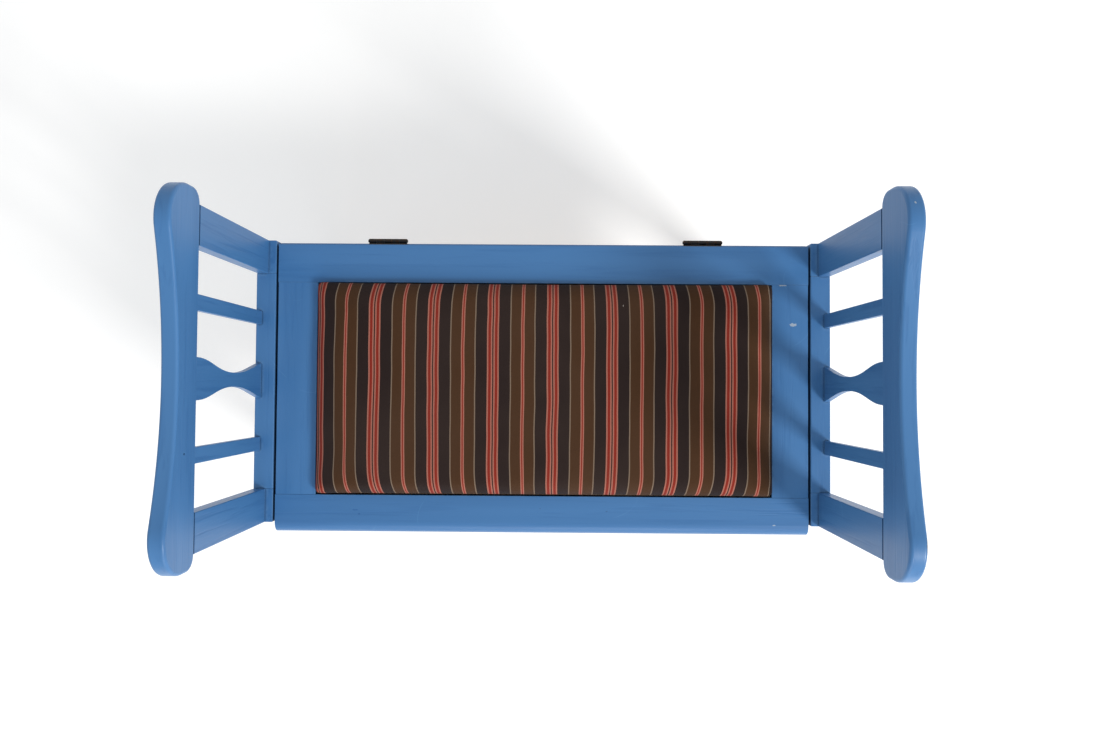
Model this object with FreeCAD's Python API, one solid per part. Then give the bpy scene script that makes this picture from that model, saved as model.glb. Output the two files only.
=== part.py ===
import FreeCAD, Part
import math
import os
from FreeCAD import Placement, Rotation, Vector

# Hall bench with a hinged lid over a storage box, two open arms and a drop-in padded seat.
# Frame: +X along the seat, +Y to the back, +Z up, origin on the floor at the middle of the plan.
# All sizes are in millimetres.

# Seat and lid
SEAT_TOP = 450.0            # top of the lid frame and of the end rails
LID_LENGTH = 700.0
LID_THICK = 20.0
LID_BACK = 181.5            # Y of the lid's back edge
LID_FRONT = -199.0          # the lid's nose stands in front of the legs
LID_RAIL_BACK = 51.0        # widths of the lid's frame, seen from above
LID_RAIL_FRONT = 50.0
LID_STILE_LEFT = 53.0
LID_STILE_RIGHT = 48.0
LID_NOSE_ROUND = 14.0       # round-over along the front edge
LID_INNER_ROUND = 0.8       # edges round the pad's opening and along the butt joints
LEDGE_WIDTH = 10.0          # ledge inside the lid frame that carries the pad's board
LEDGE_THICK = 8.0
DOWEL_RADIUS = 4.0
DOWEL_LENGTH = 36.0

# Pad
PAD_BOARD_THICK = 8.0
PAD_CROWN = 27.0            # how far the pad stands above the lid frame
PAD_GAP = 1.5               # play between the pad and the lid frame
PAD_TOP_ROUND = 15.0
PAD_CORNER_ROUND = 12.0

# End frames
SIDE_GAP = 3.0              # play between the lid and each end frame
LEG_THICK = 26.0            # legs and end rails, along X
LEG_WIDTH = 44.0            # along Y
POST_THICK = 16.0           # upper part of each leg, thinned from the inside
END_DEPTH = 372.0
ARM_RISE = 214.0            # seat level to the underside of the crest rail
RAIL_HEIGHT = 150.0
CREST_THICK = 18.0
CREST_REACH = 202.0         # half length, out to the rounded ends
CREST_MIDDLE = 47.0         # height in the hollow of the saddle
CREST_EAR = 70.0            # height of the ear at each end
CREST_END_ROUND = 42.0      # radius over each ear
CREST_FOOT_ROUND = 16.0     # radius of the lower corners
SLAT_THICK = 7.0
SLAT_WIDTH = 18.0
SLAT_ROUND = 0.8
SLAT_OFFSET = 83.0          # slat centres in front of and behind the middle of the arm
SLAT_SETBACK = 7.5          # slats and splat stand behind the inner face of the posts
SLAT_TENON = 10.0
SPLAT_TENON_HALF = 16.0     # half width of the splat's tenons
SPLAT_BASE_HALF = 23.0      # half widths of the vase-shaped splat
SPLAT_WAIST_HALF = 8.5
SPLAT_TOP_HALF = 23.5
SPLAT_WAIST_RISE = 92.0     # heights above the seat
SPLAT_TOP_RISE = 200.0      # from here up its sides are straight
SPLAT_PULL_FOOT = 0.4       # curve handles, as shares of the rise below and above the waist
SPLAT_PULL_WAIST = 0.5
SPLAT_PULL_TOP = 0.4
NAIL_HOLE_RADIUS = 1.3      # empty hole of a lost nail that held the left arm's front slat
NAIL_HOLE_DEPTH = 5.0
NAIL_HOLE_PLACE = (-78.0, 29.0)     # Y, and height above the crest rail's underside

# Storage box
BOARD_THICK = 20.0
BOARD_FRONT_FACE = -184.0
CLEAT_SIZE = 15.0
PLANK_THICK = 10.0
PLANK_COUNT = 3
PLANK_GAP = 1.0
CLEAT_SCREW_LENGTH = 27.0
CLEAT_SCREW_HEAD = 3.5      # head and shank radius
CLEAT_SCREW_SHANK = 1.7
CLEAT_SCREW_PITCH = 150.0   # on the front and back cleats
CLEAT_SCREW_PITCH_END = 110.0
CLEAT_END_GAP = 2.0

# Hinges
HINGE_LENGTH = 51.0
HINGE_CENTRES = {"left": -209.0, "right": 214.0}
LEAF_THICK = 1.5
LEAF_WIDTH = 18.0
KNUCKLE_RADIUS = 3.0
KNUCKLE_COUNT = 5
KNUCKLE_GAP = 0.2
LEAF_GAP = 0.3              # a leaf stops this far from the other leaf's knuckles
BARREL_GAP = 0.3            # the knuckles stand this far behind the back board
PIN_RADIUS = 1.2
PIN_PLAY = 0.05             # radial running play of the pin
HINGE_SCREW_PITCH = 18.0
HINGE_SCREW_SETBACK = 11.0  # from the leaf's back edge to the line of screws
HINGE_SCREW_LENGTH = 13.0
HINGE_SCREW_HEAD = 2.9      # head and shank radius
HINGE_SCREW_SHANK = 1.5
PIN_HEAD = 0.8              # thickness of the pin's heads, and how far they stand out round it
PIN_END_PLAY = 0.2
SLOT_WIDTH = 0.7            # driver slot in every screw head
SLOT_DEPTH = 0.7

# Joinery
FIT = 0.1                   # play all round a tenon in its mortise
EDGE_ROUND = 1.5            # worn arris on painted wood
LEG_END_ROUND = 1.0         # arris round the feet, the shoulders and the thin part of a leg
CREST_ROUND = 3.5
TENON_THICK = 8.0
TENON_LENGTH = 15.0
TENON_SHOULDER = 12.0       # how far a tenon stops short of its rail's edges
CREST_TENON_HALF = 14.0     # half width of the tenon on top of each post

# Heights and places that follow
LID_UNDER = SEAT_TOP - LID_THICK
RAIL_BOTTOM = SEAT_TOP - RAIL_HEIGHT
CREST_UNDER = SEAT_TOP + ARM_RISE
LEDGE_TOP = LID_UNDER + LEDGE_THICK
PAD_BOARD_TOP = LEDGE_TOP + PAD_BOARD_THICK
END_INNER = LID_LENGTH / 2 + SIDE_GAP
END_OUTER = END_INNER + LEG_THICK
POST_INNER = END_OUTER - POST_THICK
END_HALF = END_DEPTH / 2
RAIL_HALF = END_HALF - LEG_WIDTH
SLAT_INNER = POST_INNER + SLAT_SETBACK
SLAT_OUTER = SLAT_INNER + SLAT_THICK
BOARD_BACK_FACE = END_HALF  # flush with the backs of the legs
BOX_FRONT = BOARD_FRONT_FACE + BOARD_THICK
BOX_BACK = BOARD_BACK_FACE - BOARD_THICK
HINGE_Y = BOARD_BACK_FACE + KNUCKLE_RADIUS + BARREL_GAP
OPEN_LEFT = -LID_LENGTH / 2 + LID_STILE_LEFT
OPEN_RIGHT = LID_LENGTH / 2 - LID_STILE_RIGHT
OPEN_FRONT = LID_FRONT + LID_RAIL_FRONT
OPEN_BACK = LID_BACK - LID_RAIL_BACK


def block(x0, x1, y0, y1, z0, z1, grow=0.0):
    """Box between two corners, made larger all round by grow."""
    corner = Vector(x0 - grow, y0 - grow, z0 - grow)
    return Part.makeBox(x1 - x0 + 2 * grow, y1 - y0 + 2 * grow, z1 - z0 + 2 * grow, corner)


def rod(radius, start, direction, length):
    return Part.makeCylinder(radius, length, start, direction)


def mirror_x(shape):
    return shape.mirror(Vector(0, 0, 0), Vector(1, 0, 0))


def joined(shapes):
    return shapes[0].fuse(shapes[1:]).removeSplitter()


def round_edges(shape, radius, wanted):
    """Rounds the edges whose middle point passes the test."""
    edges = [edge for edge in shape.Edges if wanted(edge.BoundBox.Center)]
    return shape.makeFillet(radius, edges)


def near(value, *places):
    return any(abs(value - place) < 0.01 for place in places)


def export(name, shape):
    solid = shape.Solids[0] if len(shape.Solids) == 1 else shape
    solid.exportStep(os.path.join("parts", name + ".step"))


def screw(point, direction, length, head_radius, shank_radius, slack=0.0):
    """Countersunk wood screw, its head's face at point and its shank along direction."""
    head_depth = head_radius - shank_radius
    head = Part.makeCone(head_radius + slack, shank_radius + slack, head_depth, point, direction)
    body = head.fuse(rod(shank_radius + slack, point, direction, length + slack))
    return body if slack else body.cut(driver_slot(point, direction, head_radius))


def driver_slot(point, direction, head_radius):
    corner = Vector(-head_radius, -SLOT_WIDTH / 2, 0)
    slot = Part.makeBox(2 * head_radius, SLOT_WIDTH, SLOT_DEPTH, corner)
    slot.Placement = Placement(point, Rotation(Vector(0, 0, 1), direction))
    return slot


# End frames: everything is drawn for the right end, and mirrored for the left

def leg_mortises(side):
    """Sockets in a leg: end rail, front or back board, and side is -1 for the front."""
    tools = [block(*rail_tenon(side), grow=FIT)]
    tools.append(block(*board_tenon(side), grow=FIT))
    return tools


def rail_tenon(side):
    middle = (END_INNER + END_OUTER) / 2
    y_span = sorted([side * RAIL_HALF, side * (RAIL_HALF + TENON_LENGTH)])
    return (middle - TENON_THICK / 2, middle + TENON_THICK / 2, y_span[0], y_span[1],
            RAIL_BOTTOM + TENON_SHOULDER, SEAT_TOP - TENON_SHOULDER)


def board_tenon(side):
    middle = BOARD_FRONT_FACE + BOARD_THICK / 2 if side < 0 else BOARD_BACK_FACE - BOARD_THICK / 2
    return (END_INNER, END_INNER + TENON_LENGTH, middle - TENON_THICK / 2, middle + TENON_THICK / 2,
            RAIL_BOTTOM + TENON_SHOULDER, LID_UNDER - TENON_SHOULDER)


def crest_tenon(side):
    middle = side * (RAIL_HALF + LEG_WIDTH / 2)
    centre_x = POST_INNER + POST_THICK / 2
    return (centre_x - TENON_THICK / 2, centre_x + TENON_THICK / 2, middle - CREST_TENON_HALF,
            middle + CREST_TENON_HALF,
            CREST_UNDER, CREST_UNDER + TENON_LENGTH)


def make_leg(side):
    """Leg and arm post in one piece of wood, its upper part thinned from the inside."""
    outline = [(END_INNER, 0), (END_OUTER, 0), (END_OUTER, CREST_UNDER), (POST_INNER, CREST_UNDER),
               (POST_INNER, SEAT_TOP), (END_INNER, SEAT_TOP), (END_INNER, 0)]
    start = min(side * RAIL_HALF, side * END_HALF)
    wire = Part.makePolygon([Vector(x, start, z) for x, z in outline])
    body = Part.Face(wire).extrude(Vector(0, LEG_WIDTH, 0))

    def long_edge(middle):
        return near(middle.z, SEAT_TOP / 2, CREST_UNDER / 2)

    def end_edge(middle):
        inside_corner = near(middle.x, POST_INNER) and near(middle.z, SEAT_TOP)
        return not long_edge(middle) and not near(middle.z, CREST_UNDER) and not inside_corner

    body = round_edges(body, EDGE_ROUND, long_edge)
    body = round_edges(body, LEG_END_ROUND, end_edge)
    body = body.cut(leg_mortises(side))
    return joined([body, block(*crest_tenon(side))])


def splat_side(side):
    """Edges of one side of the splat, from its foot past its waist to the crest rail."""
    def at(half, rise):
        return Vector(SLAT_INNER, side * half, SEAT_TOP + rise)

    leaning = (SPLAT_BASE_HALF + SPLAT_WAIST_HALF) / 2
    lower_pull = SPLAT_PULL_FOOT * SPLAT_WAIST_RISE
    upper_rise = SPLAT_TOP_RISE - SPLAT_WAIST_RISE
    waist = at(SPLAT_WAIST_HALF, SPLAT_WAIST_RISE)
    shoulder = at(SPLAT_TOP_HALF, SPLAT_TOP_RISE)
    lower = Part.BezierCurve()
    lower.setPoles([at(SPLAT_BASE_HALF, 0), at(leaning, lower_pull),
                    at(SPLAT_WAIST_HALF, SPLAT_WAIST_RISE - lower_pull), waist])
    upper = Part.BezierCurve()
    upper.setPoles([waist, at(SPLAT_WAIST_HALF, SPLAT_WAIST_RISE + SPLAT_PULL_WAIST * upper_rise),
                    at(SPLAT_TOP_HALF, SPLAT_TOP_RISE - SPLAT_PULL_TOP * upper_rise), shoulder])
    return [lower.toShape(), upper.toShape(), Part.makeLine(shoulder, at(SPLAT_TOP_HALF, ARM_RISE))]


def make_splat():
    foot = [Vector(SLAT_INNER, side * SPLAT_BASE_HALF, SEAT_TOP) for side in (-1, 1)]
    head = [Vector(SLAT_INNER, side * SPLAT_TOP_HALF, CREST_UNDER) for side in (-1, 1)]
    edges = splat_side(-1) + splat_side(1) + [Part.makeLine(*foot), Part.makeLine(*head)]
    face = Part.Face(Part.Wire(Part.__sortEdges__(edges)))
    board = face.extrude(Vector(SLAT_THICK, 0, 0))
    return joined([board] + [block(*span) for span in splat_tenons()])


def splat_tenons():
    half = SPLAT_TENON_HALF
    return [(SLAT_INNER, SLAT_OUTER, -half, half, SEAT_TOP - SLAT_TENON, SEAT_TOP),
            (SLAT_INNER, SLAT_OUTER, -half, half, CREST_UNDER, CREST_UNDER + SLAT_TENON)]


def slat_span(side):
    middle = side * SLAT_OFFSET
    return (SLAT_INNER, SLAT_OUTER, middle - SLAT_WIDTH / 2, middle + SLAT_WIDTH / 2,
            SEAT_TOP - SLAT_TENON, CREST_UNDER + SLAT_TENON)


def make_slat(side):
    slat = block(*slat_span(side))
    return round_edges(slat, SLAT_ROUND, lambda middle: near(middle.z, (SEAT_TOP + CREST_UNDER) / 2))


def slat_sockets():
    spans = splat_tenons() + [slat_span(side) for side in (-1, 1)]
    return [block(*span, grow=FIT) for span in spans]


def make_end_rail():
    rail = block(END_INNER, END_OUTER, -RAIL_HALF, RAIL_HALF, RAIL_BOTTOM, SEAT_TOP)
    rail = round_edges(rail, EDGE_ROUND, lambda middle: near(middle.y, 0))
    rail = joined([rail] + [block(*rail_tenon(side)) for side in (-1, 1)])
    return rail.cut(slat_sockets())


def crest_outline():
    """Edges of the crest rail: flat base, rounded feet, upright ends, round ears and a hollow top."""
    ear_y = CREST_REACH - CREST_END_ROUND
    ear_z = CREST_EAR - CREST_END_ROUND
    foot_y = CREST_REACH - CREST_FOOT_ROUND
    # The hollow arc touches both ears, which fixes its radius
    lift = CREST_MIDDLE - ear_z
    hollow_round = (ear_y ** 2 + lift ** 2 - CREST_END_ROUND ** 2) / (2 * (CREST_END_ROUND - lift))
    ear_turn = math.atan2(hollow_round + lift, -ear_y)

    def at(side, y, z):
        return Vector(POST_INNER, side * y, CREST_UNDER + z)

    def on_ear(side, turn):
        return at(side, ear_y + CREST_END_ROUND * math.cos(turn), ear_z + CREST_END_ROUND * math.sin(turn))

    inset = CREST_FOOT_ROUND * (1 - math.sqrt(0.5))
    edges = [Part.makeLine(at(-1, foot_y, 0), at(1, foot_y, 0))]
    for side in (-1, 1):
        foot_end = at(side, CREST_REACH, CREST_FOOT_ROUND)
        foot_middle = at(side, CREST_REACH - inset, inset)
        edges.append(Part.Arc(at(side, foot_y, 0), foot_middle, foot_end).toShape())
        edges.append(Part.makeLine(foot_end, on_ear(side, 0)))
        edges.append(Part.Arc(on_ear(side, 0), on_ear(side, ear_turn / 2), on_ear(side, ear_turn)).toShape())
    edges.append(Part.Arc(on_ear(-1, ear_turn), at(1, 0, CREST_MIDDLE), on_ear(1, ear_turn)).toShape())
    return Part.Wire(Part.__sortEdges__(edges))


def nail_hole():
    y, height = NAIL_HOLE_PLACE
    start = Vector(-POST_INNER, y, CREST_UNDER + height)
    return rod(NAIL_HOLE_RADIUS, start, Vector(-1, 0, 0), NAIL_HOLE_DEPTH)


def make_crest():
    board = Part.Face(crest_outline()).extrude(Vector(CREST_THICK, 0, 0))

    def on_face(middle):
        return near(middle.x, POST_INNER, POST_INNER + CREST_THICK)

    board = round_edges(board, CREST_ROUND, on_face)
    sockets = [block(*crest_tenon(side), grow=FIT) for side in (-1, 1)]
    return board.cut(sockets + slat_sockets())


# Storage box

def make_board(side):
    """Front or back board of the box, tenoned into the legs at both ends."""
    face = BOARD_FRONT_FACE if side < 0 else BOARD_BACK_FACE - BOARD_THICK
    board = block(-END_INNER, END_INNER, face, face + BOARD_THICK, RAIL_BOTTOM, LID_UNDER)
    outer = BOARD_FRONT_FACE if side < 0 else BOARD_BACK_FACE
    board = round_edges(board, EDGE_ROUND, lambda middle: near(middle.x, 0) and near(middle.y, outer))
    tenon = block(*board_tenon(side))
    return joined([board, tenon, mirror_x(tenon)])


def cleat_spans():
    """The four strips round the inside of the box that carry its floor."""
    top = RAIL_BOTTOM + CLEAT_SIZE
    long_half = END_INNER - CLEAT_SIZE - CLEAT_END_GAP
    short_front = BOX_FRONT + CLEAT_END_GAP
    short_back = BOX_BACK - CLEAT_END_GAP
    return {
        "cleat_front": (-long_half, long_half, BOX_FRONT, BOX_FRONT + CLEAT_SIZE, RAIL_BOTTOM, top),
        "cleat_back": (-long_half, long_half, BOX_BACK - CLEAT_SIZE, BOX_BACK, RAIL_BOTTOM, top),
        "cleat_left": (-END_INNER, -END_INNER + CLEAT_SIZE, short_front, short_back, RAIL_BOTTOM, top),
        "cleat_right": (END_INNER - CLEAT_SIZE, END_INNER, short_front, short_back, RAIL_BOTTOM, top),
    }


def cleat_screw_places():
    """Head point and direction of each screw that holds a cleat."""
    height = RAIL_BOTTOM + CLEAT_SIZE / 2
    places = []
    for step in range(-2, 3):
        places.append((Vector(step * CLEAT_SCREW_PITCH, BOX_FRONT + CLEAT_SIZE, height), Vector(0, -1, 0)))
        places.append((Vector(step * CLEAT_SCREW_PITCH, BOX_BACK - CLEAT_SIZE, height), Vector(0, 1, 0)))
    for step in (-1, 0, 1):
        for side in (-1, 1):
            face = side * (END_INNER - CLEAT_SIZE)
            places.append((Vector(face, step * CLEAT_SCREW_PITCH_END, height), Vector(side, 0, 0)))
    return places


def cleat_screws(slack=0.0):
    return [screw(point, way, CLEAT_SCREW_LENGTH, CLEAT_SCREW_HEAD, CLEAT_SCREW_SHANK, slack)
            for point, way in cleat_screw_places()]


def make_plank(index):
    depth = (BOX_BACK - BOX_FRONT - (PLANK_COUNT + 1) * PLANK_GAP) / PLANK_COUNT
    front = BOX_FRONT + PLANK_GAP + index * (depth + PLANK_GAP)
    bottom = RAIL_BOTTOM + CLEAT_SIZE
    half = END_INNER - PLANK_GAP
    return block(-half, half, front, front + depth, bottom, bottom + PLANK_THICK)


# Lid

def lid_dowel_places():
    """Start point of each dowel across the butt joints of the lid frame; all run along Y."""
    height = LID_UNDER + LID_THICK / 2
    places = []
    for joint_y in (OPEN_FRONT, OPEN_BACK):
        for centre_x, width in ((-LID_LENGTH / 2 + LID_STILE_LEFT / 2, LID_STILE_LEFT),
                                (LID_LENGTH / 2 - LID_STILE_RIGHT / 2, LID_STILE_RIGHT)):
            for side in (-1, 1):
                places.append(Vector(centre_x + side * width / 4, joint_y - DOWEL_LENGTH / 2, height))
    return places


def lid_dowels(slack=0.0):
    start = Vector(0, slack, 0)
    length = DOWEL_LENGTH + 2 * slack
    return [rod(DOWEL_RADIUS + slack, place - start, Vector(0, 1, 0), length) for place in lid_dowel_places()]


def make_lid_rail(side):
    """Front or back member of the lid, full length, with the ledge for the pad's board."""
    half = LID_LENGTH / 2
    if side < 0:
        rail = block(-half, half, LID_FRONT, OPEN_FRONT, LID_UNDER, SEAT_TOP)
        rail = round_edges(rail, LID_NOSE_ROUND, lambda m: near(m.y, LID_FRONT) and near(m.z, SEAT_TOP))
        ledge = block(OPEN_LEFT, OPEN_RIGHT, OPEN_FRONT, OPEN_FRONT + LEDGE_WIDTH, LID_UNDER, LEDGE_TOP)
    else:
        rail = block(-half, half, OPEN_BACK, LID_BACK, LID_UNDER, SEAT_TOP)
        rail = round_edges(rail, EDGE_ROUND, lambda m: near(m.y, LID_BACK) and near(m.z, SEAT_TOP))
        ledge = block(OPEN_LEFT, OPEN_RIGHT, OPEN_BACK - LEDGE_WIDTH, OPEN_BACK, LID_UNDER, LEDGE_TOP)
    rail = round_edges(rail, LID_INNER_ROUND,
                       lambda m: near(m.z, SEAT_TOP) and near(m.y, OPEN_FRONT, OPEN_BACK))
    return joined([rail, ledge]).cut(lid_dowels(FIT / 2))


def make_lid_stile(side):
    """Short end member of the lid, butted and dowelled between the two rails."""
    if side < 0:
        outer, inner = -LID_LENGTH / 2, OPEN_LEFT
        ledge_x = (OPEN_LEFT, OPEN_LEFT + LEDGE_WIDTH)
    else:
        outer, inner = LID_LENGTH / 2, OPEN_RIGHT
        ledge_x = (OPEN_RIGHT - LEDGE_WIDTH, OPEN_RIGHT)
    stile = block(min(outer, inner), max(outer, inner), OPEN_FRONT, OPEN_BACK, LID_UNDER, SEAT_TOP)
    stile = round_edges(stile, EDGE_ROUND, lambda m: near(m.z, SEAT_TOP) and near(m.x, outer))
    stile = round_edges(stile, LID_INNER_ROUND, lambda m: near(m.z, SEAT_TOP) and near(m.x, inner))
    ledge = block(ledge_x[0], ledge_x[1], OPEN_FRONT + LEDGE_WIDTH, OPEN_BACK - LEDGE_WIDTH,
                  LID_UNDER, LEDGE_TOP)
    return joined([stile, ledge]).cut(lid_dowels(FIT / 2))


def make_pad_board():
    return block(OPEN_LEFT + PAD_GAP, OPEN_RIGHT - PAD_GAP, OPEN_FRONT + PAD_GAP, OPEN_BACK - PAD_GAP,
                 LEDGE_TOP, PAD_BOARD_TOP)


def make_pad():
    top = SEAT_TOP + PAD_CROWN
    pad = block(OPEN_LEFT + PAD_GAP, OPEN_RIGHT - PAD_GAP, OPEN_FRONT + PAD_GAP, OPEN_BACK - PAD_GAP,
                PAD_BOARD_TOP, top)
    middle_z = (PAD_BOARD_TOP + top) / 2
    pad = round_edges(pad, PAD_CORNER_ROUND, lambda m: near(m.z, middle_z))
    return round_edges(pad, PAD_TOP_ROUND, lambda m: near(m.z, top))


# Hinges

def knuckle_span(centre_x, index):
    pitch = HINGE_LENGTH / KNUCKLE_COUNT
    start = centre_x - HINGE_LENGTH / 2 + index * pitch
    return start + KNUCKLE_GAP / 2, start + pitch - KNUCKLE_GAP / 2


def leaf_plate(centre_x, on_lid, grow=0.0):
    """Flat part of a leaf: above the hinge line on the lid, below it on the back board."""
    bottom = LID_UNDER if on_lid else LID_UNDER - LEAF_THICK
    back = HINGE_Y - KNUCKLE_RADIUS - LEAF_GAP
    half = HINGE_LENGTH / 2
    return block(centre_x - half, centre_x + half, back - LEAF_WIDTH, back, bottom, bottom + LEAF_THICK, grow)


def hinge_screws(centre_x, on_lid, slack=0.0):
    way = Vector(0, 0, 1 if on_lid else -1)
    line_y = BOARD_BACK_FACE - HINGE_SCREW_SETBACK
    height = LID_UNDER + (FIT if on_lid else -FIT)
    heads = [Vector(centre_x + step * HINGE_SCREW_PITCH, line_y, height) for step in (-1, 0, 1)]
    return [screw(head, way, HINGE_SCREW_LENGTH, HINGE_SCREW_HEAD, HINGE_SCREW_SHANK, slack)
            for head in heads]


def make_leaf(centre_x, on_lid):
    """Hinge leaf with its own knuckles: the odd ones on the lid, the even ones on the back board."""
    pieces = [leaf_plate(centre_x, on_lid)]
    bottom = LID_UNDER if on_lid else LID_UNDER - LEAF_THICK
    neck_start = HINGE_Y - KNUCKLE_RADIUS - 2 * LEAF_GAP
    for index in range(1 if on_lid else 0, KNUCKLE_COUNT, 2):
        x0, x1 = knuckle_span(centre_x, index)
        pieces.append(rod(KNUCKLE_RADIUS, Vector(x0, HINGE_Y, LID_UNDER), Vector(1, 0, 0), x1 - x0))
        pieces.append(block(x0, x1, neck_start, HINGE_Y, bottom, bottom + LEAF_THICK))
    leaf = joined(pieces)
    start = Vector(centre_x - HINGE_LENGTH, HINGE_Y, LID_UNDER)
    bore = rod(PIN_RADIUS + PIN_PLAY, start, Vector(1, 0, 0), 2 * HINGE_LENGTH)
    return leaf.cut([bore] + hinge_screws(centre_x, on_lid, FIT / 2))


def make_pin(centre_x):
    along = Vector(1, 0, 0)
    half = HINGE_LENGTH / 2 + PIN_END_PLAY
    start = Vector(centre_x - half, HINGE_Y, LID_UNDER)
    end = Vector(centre_x + half, HINGE_Y, LID_UNDER)
    shaft = rod(PIN_RADIUS, start, along, 2 * half)
    head_radius = PIN_RADIUS + PIN_HEAD
    heads = [rod(head_radius, start, -along, PIN_HEAD), rod(head_radius, end, along, PIN_HEAD)]
    return joined([shaft] + heads)


def hinge_cutters(on_lid):
    """Recesses and pilot holes that both hinges need in the lid's back rail or in the back board."""
    tools = []
    for centre_x in HINGE_CENTRES.values():
        tools.append(leaf_plate(centre_x, on_lid, FIT))
        tools.extend(hinge_screws(centre_x, on_lid, FIT / 2))
    return tools


os.makedirs("parts", exist_ok=True)

crest = make_crest()
right_end = {
    "leg_front": make_leg(-1),
    "leg_back": make_leg(1),
    "splat": make_splat(),
    "slat_front": make_slat(-1),
    "slat_back": make_slat(1),
}
end_rail = make_end_rail()
for piece_name, piece in right_end.items():
    export(piece_name + "_right", piece)
    export(piece_name + "_left", mirror_x(piece))
export("crest_rail_right", crest)
export("crest_rail_left", mirror_x(crest).cut(nail_hole()))
export("end_rail_right", end_rail.cut(cleat_screws(FIT / 2)))
export("end_rail_left", mirror_x(end_rail).cut(cleat_screws(FIT / 2)))

export("front_board", make_board(-1).cut(cleat_screws(FIT / 2)))
export("back_board", make_board(1).cut(cleat_screws(FIT / 2) + hinge_cutters(False)))
for cleat_name, cleat_span in cleat_spans().items():
    export(cleat_name, block(*cleat_span).cut(cleat_screws(FIT / 2)))
export("cleat_screws", Part.makeCompound(cleat_screws()))
for plank in range(PLANK_COUNT):
    export("floor_plank_" + str(plank + 1), make_plank(plank))

export("lid_rail_front", make_lid_rail(-1))
export("lid_rail_back", make_lid_rail(1).cut(hinge_cutters(True)))
export("lid_stile_left", make_lid_stile(-1))
export("lid_stile_right", make_lid_stile(1))
export("lid_dowels", Part.makeCompound(lid_dowels()))
export("pad_board", make_pad_board())
export("seat_pad", make_pad())

lid_screws = []
fixed_screws = []
for hinge, hinge_x in HINGE_CENTRES.items():
    export("hinge_leaf_lid_" + hinge, make_leaf(hinge_x, True))
    export("hinge_leaf_fixed_" + hinge, make_leaf(hinge_x, False))
    export("hinge_pin_" + hinge, make_pin(hinge_x))
    lid_screws.extend(hinge_screws(hinge_x, True))
    fixed_screws.extend(hinge_screws(hinge_x, False))
export("hinge_screws_lid", Part.makeCompound(lid_screws))
export("hinge_screws_fixed", Part.makeCompound(fixed_screws))
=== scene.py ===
import math

import bmesh
import bpy
import numpy as np
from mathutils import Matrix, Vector


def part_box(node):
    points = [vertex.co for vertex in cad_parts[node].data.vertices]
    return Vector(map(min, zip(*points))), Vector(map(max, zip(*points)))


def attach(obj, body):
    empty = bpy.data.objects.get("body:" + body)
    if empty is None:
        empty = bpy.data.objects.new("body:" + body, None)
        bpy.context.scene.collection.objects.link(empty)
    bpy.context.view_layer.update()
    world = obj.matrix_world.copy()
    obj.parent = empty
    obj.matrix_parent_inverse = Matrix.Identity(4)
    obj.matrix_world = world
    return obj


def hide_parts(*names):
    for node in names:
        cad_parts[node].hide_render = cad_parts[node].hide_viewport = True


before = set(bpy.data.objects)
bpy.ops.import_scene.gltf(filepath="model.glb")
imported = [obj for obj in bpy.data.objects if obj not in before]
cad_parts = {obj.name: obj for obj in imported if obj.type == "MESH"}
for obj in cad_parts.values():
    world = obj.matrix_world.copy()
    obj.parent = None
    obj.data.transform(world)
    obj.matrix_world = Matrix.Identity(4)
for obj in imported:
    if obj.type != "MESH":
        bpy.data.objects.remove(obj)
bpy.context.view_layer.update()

# ---------------------------------------------------------------------------------------------
# Camera and studio. The camera stands over the seat and looks almost straight down. One soft
# light hangs high in front and to the right, weaker ones in front and to the left, in a white room.

FOCAL_LENGTH = 27.36                    # millimetres, on a sensor 36 mm wide
SENSOR_WIDTH = 36.0
CAMERA_ABOVE_SEAT = 1.101
CAMERA_ASIDE = (0.0186, -0.0084)        # to the right and to the back of the seat's middle
CAMERA_TILT = (1.537, 0.415, 0.406)     # degrees

seat_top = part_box("end_rail_right")[1].z
camera_data = bpy.data.cameras.new("camera")
camera_data.sensor_width = SENSOR_WIDTH
camera_data.lens = FOCAL_LENGTH
camera = bpy.data.objects.new("camera", camera_data)
camera.location = (*CAMERA_ASIDE, seat_top + CAMERA_ABOVE_SEAT)
camera.rotation_euler = [math.radians(angle) for angle in CAMERA_TILT]
bpy.context.scene.collection.objects.link(camera)
bpy.context.scene.camera = camera


def soft_light(name, place, target, size, power, colour):
    """Square studio light at a place, turned towards a target."""
    data = bpy.data.lights.new(name, "AREA")
    data.shape = "SQUARE"
    data.size = size
    data.energy = power
    data.color = colour
    light = bpy.data.objects.new(name, data)
    light.location = place
    light.rotation_euler = (Vector(target) - Vector(place)).to_track_quat("-Z", "Y").to_euler()
    bpy.context.scene.collection.objects.link(light)


ROOM_BRIGHTNESS = 0.66
seat_middle = (0.0, 0.0, seat_top)
soft_light("key_light", (3.5, -2.6, seat_top + 3.5), seat_middle, 1.3, 205.0, (1.0, 0.985, 0.96))
soft_light("front_light", (0.2, -3.2, seat_top + 1.4), seat_middle, 2.0, 34.0, (1.0, 1.0, 1.0))
soft_light("left_light", (-2.2, -1.2, seat_top + 1.5), seat_middle, 1.6, 4.0, (0.96, 0.98, 1.0))

room = bpy.data.worlds.new("white_room")
room.use_nodes = True
room_light = room.node_tree.nodes["Background"]
room_light.inputs["Color"].default_value = (0.97, 0.985, 1.0, 1.0)
room_light.inputs["Strength"].default_value = ROOM_BRIGHTNESS
bpy.context.scene.world = room
bpy.context.scene.view_settings.view_transform = "Standard"


# ---------------------------------------------------------------------------------------------
# Floor: the swept white floor of the studio, painted matt, with a faint unevenness. It glows a
# little, as white paper under strong lights does, and takes the soft shadows.

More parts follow.
